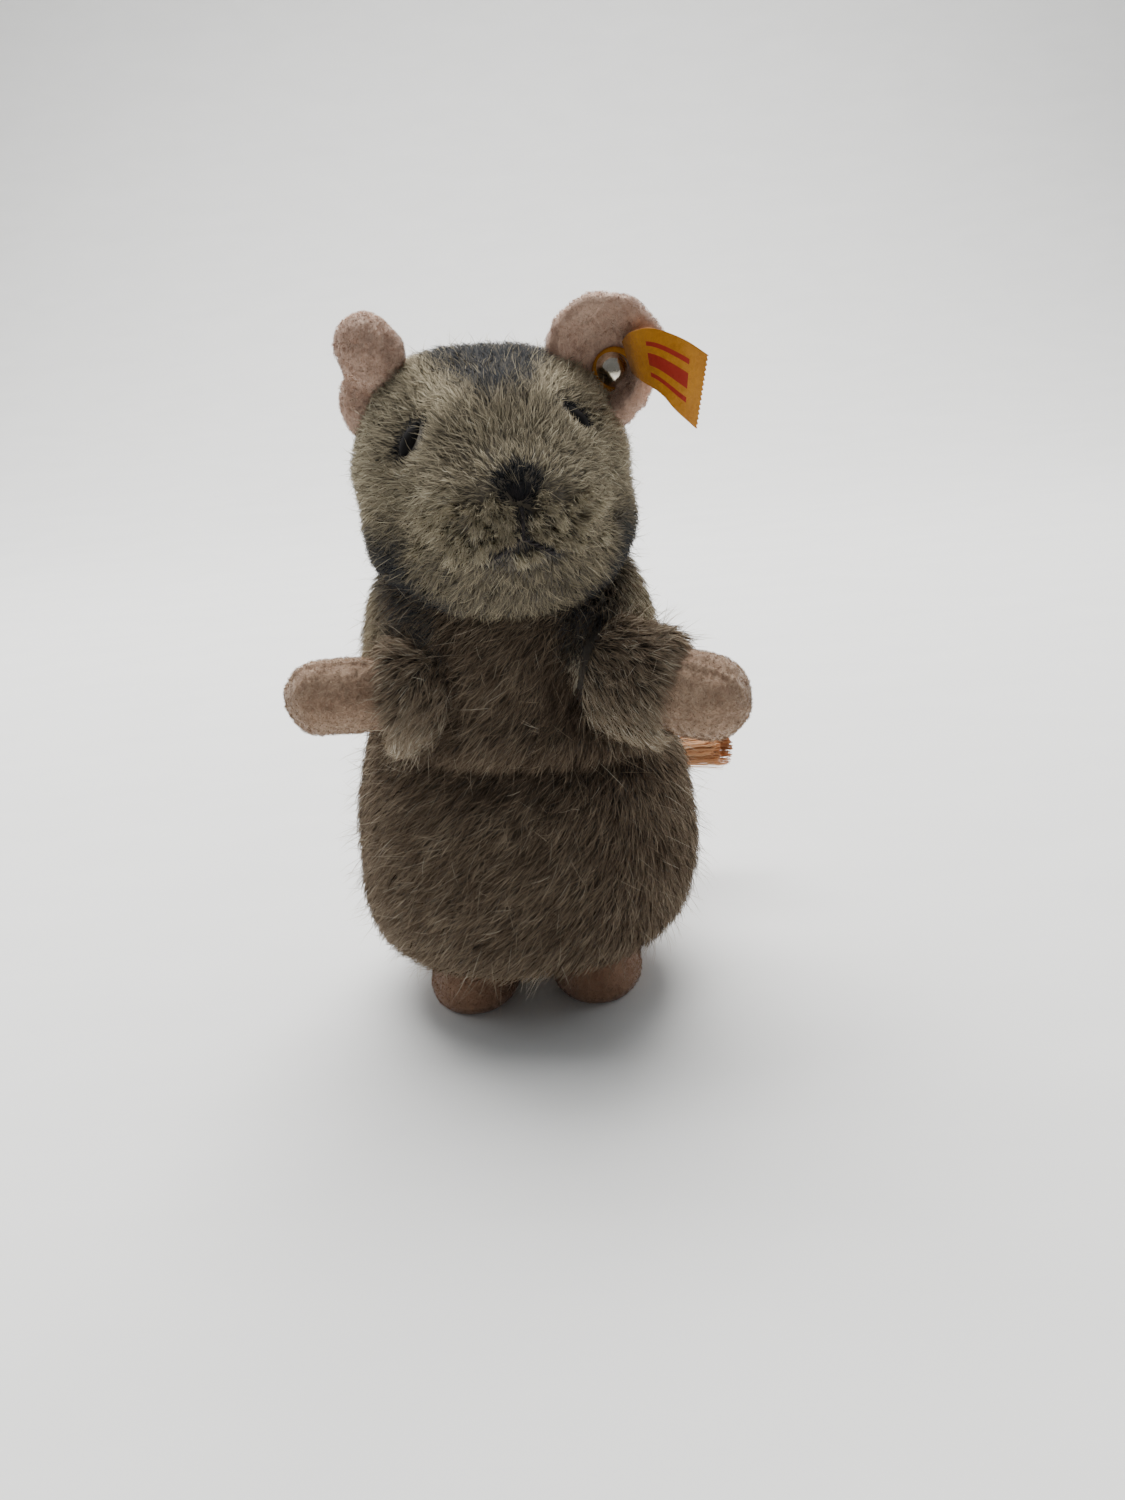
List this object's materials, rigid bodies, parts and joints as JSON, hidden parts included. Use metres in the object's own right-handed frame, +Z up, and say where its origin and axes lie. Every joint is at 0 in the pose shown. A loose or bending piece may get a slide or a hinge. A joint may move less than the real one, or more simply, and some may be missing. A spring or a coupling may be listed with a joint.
{
  "type": "wind-up plush mouse",
  "caption": "Pile-covered clockwork walking mouse with felt ears, paws and feet, a button-held cloth tag, a corded tail and a key in its back.",
  "frame": {"origin": "middle of the outer size without the tail, on the surface the mouse stands on", "axes": "+Z up, the mouse looks along -Y, its own left side is +X"},
  "size_m": [0.0711, 0.0694, 0.1061],
  "materials": {
    "pile": "short dense pile, brushed",
    "wadding": "loose stuffing",
    "card": "pressed board",
    "steel": "plated sheet steel",
    "spring_steel": "blued spring strip",
    "brass": "stamped brass",
    "felt_pink": "wool felt",
    "felt_paw": "wool felt",
    "eye": "polished black bead",
    "thread": "embroidery thread",
    "button_metal": "plated button",
    "tag_cloth": "woven ribbon",
    "tail_fibre": "bundle of soft fibres",
    "key_metal": "nickel-plated steel",
    "washer_plastic": "moulded washer"
  },
  "bodies": {
    "mouse": {"body_plush": "pile", "body_wadding": "wadding", "base_board": "card", "base_screws": "steel", "head_plush": "pile", "head_wadding": "wadding", "eye_right": "eye", "eye_left": "eye", "eye_washers": "washer_plastic", "nose_stitching": "thread", "mouth_stitching": "thread", "ear_front_right": "felt_pink", "ear_back_right": "felt_pink", "ear_front_left": "felt_pink", "ear_back_left": "felt_pink", "ear_button": "button_metal", "ear_button_washer": "button_metal", "ear_tag": "tag_cloth", "sleeve_right": "pile", "sleeve_left": "pile", "arm_wadding": "wadding", "paw_right": "felt_paw", "paw_left": "felt_paw", "tail_cord": "tail_fibre", "tail_tuft": "tail_fibre", "key_grommet": "brass", "side_plate_right": "steel", "side_plate_left": "steel", "middle_plate": "steel", "rear_plate": "steel", "escapement_bracket": "steel", "pallet_pin": "steel", "frame_pillars": "steel", "mainspring": "spring_steel", "leg_pivot_pin": "steel", "pivot_spacers": "brass"},
    "great_wheel": {"great_wheel": "brass", "click_stud": "steel", "click_spring": "spring_steel"},
    "click": {"pawl": "steel"},
    "winding": {"winding_arbor": "steel", "arbor_collar": "brass", "ratchet_wheel": "steel", "winding_key": "key_metal"},
    "crank": {"crankshaft": "steel", "crank_pinion": "brass", "crank_disc_right": "steel", "crank_disc_left": "steel"},
    "escape": {"escape_arbor": "steel", "escape_pinion": "brass", "escape_wheel": "brass"},
    "pallet": {"pallet": "steel"},
    "leg_right": {"leg_lever_right": "steel", "foot_board_right": "card", "foot_rivets_right": "brass", "foot_felt_right": "felt_paw"},
    "leg_left": {"leg_lever_left": "steel", "foot_board_left": "card", "foot_rivets_left": "brass", "foot_felt_left": "felt_paw"}
  },
  "joints": [
    {"name": "run", "type": "hinge", "parent": "mouse", "child": "great_wheel", "pos_m": [0, -0.0041, 0.034], "axis": [0, 1, 0], "continuous": true},
    {"name": "wind", "type": "hinge", "parent": "great_wheel", "child": "winding", "pos_m": [0, -0.0041, 0.034], "axis": [0, 1, 0], "continuous": true},
    {"name": "click_lift", "type": "hinge", "parent": "great_wheel", "child": "click", "pos_m": [0.0043, -0.0041, 0.0396], "axis": [0, 1, 0], "range_deg": [-6, 4]},
    {"name": "crank_spin", "type": "hinge", "parent": "mouse", "child": "crank", "pos_m": [0, -0.0056, 0.034], "axis": [1, 0, 0], "continuous": true},
    {"name": "escape_spin", "type": "hinge", "parent": "mouse", "child": "escape", "pos_m": [0, -0.0046, 0.046], "axis": [0, 0, 1], "continuous": true},
    {"name": "pallet_rock", "type": "hinge", "parent": "mouse", "child": "pallet", "pos_m": [0, -0.0112, 0.0464], "axis": [0, 0, 1], "range_deg": [-5, 5]},
    {"name": "leg_right_swing", "type": "hinge", "parent": "mouse", "child": "leg_right", "pos_m": [-0.0151, -0.0056, 0.022], "axis": [1, 0, 0], "range_deg": [-6, 6]},
    {"name": "leg_left_swing", "type": "hinge", "parent": "mouse", "child": "leg_left", "pos_m": [0.0151, -0.0056, 0.022], "axis": [1, 0, 0], "range_deg": [-6, 6]}
  ],
  "couplings": [
    {"joint": "crank_spin", "follows": "run", "ratio": -3},
    {"joint": "escape_spin", "follows": "run", "ratio": -4.5},
    {"joint": "leg_left_swing", "follows": "leg_right_swing", "ratio": -1}
  ]
}
